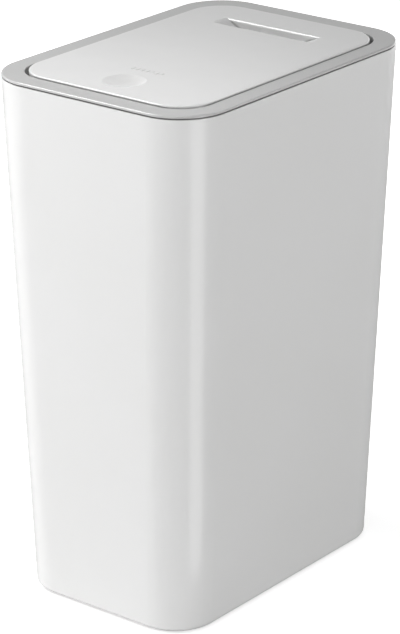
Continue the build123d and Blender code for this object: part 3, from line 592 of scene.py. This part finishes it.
def screw_tree():
    """Geometry Nodes: a screw on each point, its head's face on the point and its tip along +Z.

    Its sizes are in mm, and the finished screw is brought to metres as it is placed."""
    facets, thread_steps, crest_facets, same_point = 32, 24, 3, 0.001
    recess_span, recess_width = 1.25, 0.3  # of the head's radius
    recess_depths = 1.5, 1.44  # of the countersink, unequal so that the two cuts share no face
    head_sizes = ("Head Radius", "Rim", "Countersink")
    shank_sizes = ("Core Radius", "Shank", "Tip", "Turns", "Thread Depth")
    tree, given = begin_making("cross_recessed_screws", head_sizes + shank_sizes)

    face = add_node(
        tree,
        "GeometryNodeMeshCircle",
        {"Vertices": facets, "Radius": given["Head Radius"]},
        fill_type="NGON",
    )
    face = add_node(tree, "GeometryNodeFlipFaces", {"Mesh": face.outputs["Mesh"]})
    stretches, height = [face.outputs["Mesh"]], None
    for bottom, top, length in (
        ("Head Radius", "Head Radius", "Rim"),
        ("Head Radius", "Core Radius", "Countersink"),
        ("Core Radius", "Core Radius", "Shank"),
        ("Core Radius", None, "Tip"),
    ):
        cone = add_node(
            tree,
            "GeometryNodeMeshCone",
            {
                "Vertices": facets,
                "Radius Bottom": given[bottom],
                "Radius Top": given[top] if top else 0.0,
                "Depth": given[length],
            },
            fill_type="NONE",
        ).outputs["Mesh"]
        if height:
            raised = add_node(tree, "ShaderNodeCombineXYZ", {"Z": height})
            cone = add_node(
                tree,
                "GeometryNodeTransform",
                {"Geometry": cone, "Translation": raised.outputs[0]},
            ).outputs["Geometry"]
            if length == "Shank":
                thread_start = raised.outputs[0]
            height = add_node(tree, "ShaderNodeMath", {0: height, 1: given[length]}).outputs[0]
        else:
            height = given[length]
        stretches.append(cone)
    joined = add_node(tree, "GeometryNodeJoinGeometry")
    for stretch in stretches:
        tree.links.new(stretch, joined.inputs["Geometry"])
    blank = add_node(
        tree,
        "GeometryNodeMergeByDistance",
        {"Geometry": joined.outputs["Geometry"], "Distance": same_point},
    )

    helix = add_node(
        tree,
        "GeometryNodeCurveSpiral",
        {
            "Resolution": thread_steps,
            "Rotations": given["Turns"],
            "Start Radius": given["Core Radius"],
            "End Radius": given["Core Radius"],
            "Height": given["Shank"],
        },
    )
    crest = add_node(
        tree,
        "GeometryNodeCurvePrimitiveCircle",
        {"Resolution": crest_facets, "Radius": given["Thread Depth"]},
    )
    thread = add_node(
        tree,
        "GeometryNodeCurveToMesh",
        {
            "Curve": helix.outputs["Curve"],
            "Profile Curve": crest.outputs["Curve"],
            "Fill Caps": True,
        },
    )
    thread = add_node(
        tree,
        "GeometryNodeTransform",
        {"Geometry": thread.outputs["Mesh"], "Translation": thread_start},
    )

    span, width = (
        add_node(
            tree, "ShaderNodeMath", {0: given["Head Radius"], 1: share}, operation="MULTIPLY"
        ).outputs[0]
        for share in (recess_span, recess_width)
    )
    recessed = add_node(tree, "GeometryNodeMeshBoolean", {"Mesh 1": blank.outputs["Geometry"]})
    for x, y, share in ((span, width, recess_depths[0]), (width, span, recess_depths[1])):
        depth = add_node(
            tree, "ShaderNodeMath", {0: given["Countersink"], 1: share}, operation="MULTIPLY"
        )
        sides = add_node(tree, "ShaderNodeCombineXYZ", {"X": x, "Y": y, "Z": depth.outputs[0]})
        slot_cut = add_node(tree, "GeometryNodeMeshCube", {"Size": sides.outputs[0]})
        tree.links.new(slot_cut.outputs["Mesh"], recessed.inputs["Mesh 2"])
    screw = add_node(tree, "GeometryNodeJoinGeometry")
    tree.links.new(recessed.outputs["Mesh"], screw.inputs["Geometry"])
    tree.links.new(thread.outputs["Geometry"], screw.inputs["Geometry"])

    turn = add_node(
        tree,
        "FunctionNodeRandomValue",
        {"Min": (0.0, 0.0, 0.0), "Max": (0.0, 0.0, pi / 2), "Seed": 4},
        data_type="FLOAT_VECTOR",
    )
    end_making(
        tree,
        given,
        screw.outputs["Geometry"],
        Rotation=turn.outputs["Value"],
        Scale=(mm, mm, mm),
    )
    return tree


zinc = zinc_plated_steel()
cross_recessed = screw_tree()


def screws(node, size, places, body, turn=None):
    """Detailed screws that stand for one CAD node, on its body. A turn is made after placing."""
    rim_share, tip_share = 0.18, 1.1  # of the head's height, and of the core's radius
    rim, tip = rim_share * size["head_height"], tip_share * size["core_radius"]
    values = {
        "Head Radius": size["head_radius"],
        "Core Radius": size["core_radius"],
        "Rim": rim,
        "Countersink": size["head_height"] - rim,
        "Shank": size["length"] - size["head_height"] - tip,
        "Tip": tip,
        "Thread Depth": size["thread_depth"],
        "Turns": float(size["turns"]),
        "Finish": zinc,
    }
    piece = from_tree(node + "_detailed", cross_recessed, places, values)
    if turn:
        piece.data.transform(turn)
    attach(piece, body)
    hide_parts(node)


# Before the turn to the front, a screw's place is its X, its height and its distance in front.
to_the_front = Matrix.Rotation(pi / 2, 4, "X")
latch_screw_places = [(x * mm, 0.3160, 0.0950) for x in (-12.5, 12.5)]
small_screw_places = [(x * mm, z * mm, 0.0830) for x in (-7.5, 7.5) for z in (297.0, 319.0)]
screws("latch_screws", latch_screw, latch_screw_places, "collar", to_the_front)
screws("latch_cover_screws", small_screw, small_screw_places, "collar", to_the_front)


# ---------------------------------------------------------------- lid
# The push lid, moulded in the bucket's polypropylene with its dimple and finger recess, a row of
# raised bars for the finger, and the cover and striker that are screwed under it.
cover_screw = {**latch_screw, "length": 4.95, "turns": 3}
striker_screw = {**latch_screw, "length": 6.55, "turns": 5}
cover_screw_places = [(x * mm, y * mm, 0.3267) for x in (-55, 55) for y in (-78, -18, 42)]
striker_screw_places = [(x * mm, -0.0905, 0.3251) for x in (-9.5, 9.5)]
bar_count, bar_pitch, bar_width, bar_length, bar_height = 7, 3.6 * mm, 1.6 * mm, 4.2 * mm, 0.6 * mm
row_centre = (-0.0015, -0.0500)

coat("lid_panel", white_gloss)
coat("lid_inner_cover", white_gloss)
screws("lid_cover_screws", cover_screw, cover_screw_places, "lid")
screws("striker_screws", striker_screw, striker_screw_places, "lid")


def bar_tree():
    """Geometry Nodes: a row of rounded bars along X, with the first one's centre on each point."""
    sizes = ("Count", "Pitch", "Width", "Length", "Height")
    tree, given = begin_making("tactile_bars", sizes)
    step = add_node(tree, "ShaderNodeCombineXYZ", {"X": given["Pitch"]})
    row = add_node(
        tree,
        "GeometryNodeMeshLine",
        {"Count": given["Count"], "Offset": step.outputs[0]},
        mode="OFFSET",
    )
    sides = add_node(
        tree,
        "ShaderNodeCombineXYZ",
        {"X": given["Width"], "Y": given["Length"], "Z": given["Height"]},
    )
    blank = add_node(
        tree,
        "GeometryNodeMeshCube",
        {"Size": sides.outputs[0], "Vertices X": 2, "Vertices Y": 4, "Vertices Z": 2},
    )
    rounded = add_node(
        tree, "GeometryNodeSubdivisionSurface", {"Mesh": blank.outputs["Mesh"], "Level": 3}
    )
    smooth = add_node(tree, "GeometryNodeSetShadeSmooth", {"Geometry": rounded.outputs["Mesh"]})
    bars = add_node(
        tree,
        "GeometryNodeInstanceOnPoints",
        {"Points": row.outputs["Mesh"], "Instance": smooth.outputs["Geometry"]},
    )
    end_making(tree, given, bars.outputs["Instances"])
    return tree


lid_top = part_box("lid_panel")[1][2]
first_bar = (row_centre[0] - bar_pitch * (bar_count - 1) / 2, row_centre[1], lid_top)
press_mark = from_tree(
    "press_mark",
    bar_tree(),
    [first_bar],
    {
        "Count": bar_count,
        "Pitch": bar_pitch,
        "Width": bar_width,
        "Length": bar_length,
        "Height": bar_height,
        "Finish": white_gloss,
    },
)
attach(press_mark, "lid")


# ---------------------------------------------------------------- studio
# A pale floor in a plain white room, lit by softboxes all round and a small one over the lid, and
# by the room's own even light. The camera stands at the front right corner, a little above.
camera_azimuth, camera_elevation, camera_roll = radians(38.4), radians(21.27), radians(-0.18)
camera_distance = 1.8659
camera_target = Vector((-0.0009, -0.0016, 0.1634))
focal_px, image_height_px, sensor_mm = 2999.8, 634, 36.0
back = Vector(
    (
        sin(camera_azimuth) * cos(camera_elevation),
        -cos(camera_azimuth) * cos(camera_elevation),
        sin(camera_elevation),
    )
)
camera_data = bpy.data.cameras.new("camera")
camera_data.sensor_width = sensor_mm
camera_data.lens = focal_px * sensor_mm / image_height_px
camera = bpy.data.objects.new("camera", camera_data)
camera.location = camera_target + back * camera_distance
camera.rotation_mode = "QUATERNION"
camera.rotation_quaternion = Quaternion(back, camera_roll) @ back.to_track_quat("Z", "Y")
bpy.context.scene.collection.objects.link(camera)
bpy.context.scene.camera = camera

floor_half, floor_drop = 6.0, 0.2 * mm  # it lies just below the pads' faces


def white_floor():
    """A pale floor that the camera sees as plain white, apart from the bin's shadow on it."""
    paint_colour, mirrored_colour = linear("ececec"), linear("a8a8a8")
    near, far, near_lift, far_lift, mirrored_share = 0.14, 0.6, 0.6, 0.93, 0.13
    material, tree = new_tree("white_floor")
    rays = add_node(tree, "ShaderNodeLightPath")
    shade = add_node(
        tree,
        "ShaderNodeMix",
        {"Factor": rays.outputs["Is Glossy Ray"], "A": paint_colour, "B": mirrored_colour},
        data_type="RGBA",
    )
    paint = add_node(tree, "ShaderNodeBsdfDiffuse", {"Color": shade.outputs["Result"]})
    mirrored = add_node(
        tree,
        "ShaderNodeMath",
        {0: rays.outputs["Is Glossy Ray"], 1: mirrored_share},
        operation="MULTIPLY",
    )
    seen = add_node(
        tree,
        "ShaderNodeMath",
        {0: rays.outputs["Is Camera Ray"], 1: rays.outputs["Is Transmission Ray"]},
        operation="MAXIMUM",
    )
    seen = add_node(
        tree, "ShaderNodeMath", {0: seen.outputs[0], 1: mirrored.outputs[0]}, operation="MAXIMUM"
    )
    place = add_node(tree, "ShaderNodeTexCoord").outputs["Object"]
    away = add_node(tree, "ShaderNodeVectorMath", {0: place}, operation="LENGTH")
    white = add_node(
        tree,
        "ShaderNodeMapRange",
        {
            "Value": away.outputs["Value"],
            "From Min": near,
            "From Max": far,
            "To Min": near_lift,
            "To Max": far_lift,
        },
    )
    lift = add_node(
        tree,
        "ShaderNodeMath",
        {0: seen.outputs[0], 1: white.outputs["Result"]},
        operation="MULTIPLY",
    )
    glow = add_node(
        tree, "ShaderNodeEmission", {"Color": (1, 1, 1, 1), "Strength": lift.outputs[0]}
    )
    both = add_node(tree, "ShaderNodeAddShader", {0: paint.outputs[0], 1: glow.outputs[0]})
    add_node(tree, "ShaderNodeOutputMaterial", {"Surface": both.outputs[0]})
    return material


floor_mesh = bpy.data.meshes.new("floor")
floor_mesh.from_pydata(
    [(x, y, -floor_drop) for x, y in ((-1, -1), (1, -1), (1, 1), (-1, 1))], [], [(0, 1, 2, 3)]
)
floor_mesh.transform(Matrix.Diagonal((floor_half, floor_half, 1, 1)))
floor_mesh.materials.append(white_floor())
floor = bpy.data.objects.new("floor", floor_mesh)
bpy.context.scene.collection.objects.link(floor)


def softbox(name, place, aim, width, height, watts):
    """A soft rectangular lamp at a place, aimed at a point. The camera doesn't see it."""
    lamp = bpy.data.lights.new(name, "AREA")
    lamp.shape = "RECTANGLE"
    lamp.size, lamp.size_y = width, height
    lamp.energy = watts
    made = bpy.data.objects.new(name, lamp)
    made.location = place
    made.rotation_mode = "QUATERNION"
    made.rotation_quaternion = (Vector(place) - Vector(aim)).to_track_quat("Z", "Y")
    made.visible_camera = False
    bpy.context.scene.collection.objects.link(made)
    return made


body_aim, lid_aim, edge_aim = (0, 0, 0.2), (0, -0.05, 0.33), (0, 0, 0.33)
lid_front, corner = (0, -0.13, 0.33), (0.0694, -0.0917, 0.1674)
# Each one's place, the point that it is aimed at, its width and height, and its watts. The two
# cards light nothing and are only mirrored: one along the upright corner, and one, high up, in
# the front edges of the lid, collar and bucket.
softboxes = {
    "front_softbox": ((0, -1.1, 0.25), body_aim, 1.2, 0.5, 4.05),
    "front_left_softbox": ((-0.9, -0.8, 0.25), body_aim, 0.3, 0.5, 2.3),
    "left_softbox": ((-1.1, -0.5, 0.3), body_aim, 0.4, 0.6, 4.2),
    "far_left_softbox": ((-1.6, -0.2, 1.1), edge_aim, 0.5, 0.5, 8.2),
    "right_softbox": ((1.1, -0.15, 0.45), body_aim, 0.3, 0.5, 2.9),
    "right_edge_softbox": ((0.85, 0.92, 0.47), edge_aim, 0.35, 0.3, 1.5),
    "edge_softbox": ((-0.75, -0.42, 1.25), lid_aim, 0.3, 0.2, 1.2),
    "rear_softbox": ((0.1, 1.2, 0.25), body_aim, 1.2, 0.5, 4.0),
    "lid_softbox": ((0, -0.15, 0.65), lid_front, 0.4, 0.12, 0.21),
    "corner_card": ((0.1279, -0.1031, 0.165), corner, 0.042, 0.32, 0.08),
    "front_edge_card": ((-0.724, -0.095, 1.35), lid_aim, 0.3, 0.4, 15.0),
}
lamps = {name: softbox(name, *values) for name, values in softboxes.items()}
for card in ("corner_card", "front_edge_card"):
    lamps[card].visible_diffuse = False
# Seen from the right, the lid would mirror the left lamp all over.
lamps["left_softbox"].visible_glossy = False
# A grid on the front of the lid's lamp keeps its light off the opened lid.
lamps["lid_softbox"].data.spread = radians(95)
# The corner's card leans with the corner, which the bucket's taper tilts.
corner_lean = Quaternion((1, 0, 0), radians(3.6))
corner_card = lamps["corner_card"]
corner_card.rotation_quaternion = corner_lean @ corner_card.rotation_quaternion

room_light = 0.13
world = bpy.data.worlds.new("white_room")
world.use_nodes = True
room = world.node_tree
room.nodes.clear()
rays = add_node(room, "ShaderNodeLightPath")
seen = add_node(
    room,
    "ShaderNodeMath",
    {0: rays.outputs["Is Camera Ray"], 1: rays.outputs["Is Transmission Ray"]},
    operation="MAXIMUM",
)
seen = add_node(
    room,
    "ShaderNodeMath",
    {0: seen.outputs[0], 1: rays.outputs["Is Glossy Ray"]},
    operation="MAXIMUM",
)
strength = add_node(
    room,
    "ShaderNodeMapRange",
    {"Value": seen.outputs[0], "To Min": room_light, "To Max": 1.0},
)
sky = add_node(
    room,
    "ShaderNodeBackground",
    {"Color": (1, 1, 1, 1), "Strength": strength.outputs["Result"]},
)
add_node(room, "ShaderNodeOutputWorld", {"Surface": sky.outputs[0]})
bpy.context.scene.world = world
bpy.context.scene.view_settings.view_transform = "Standard"
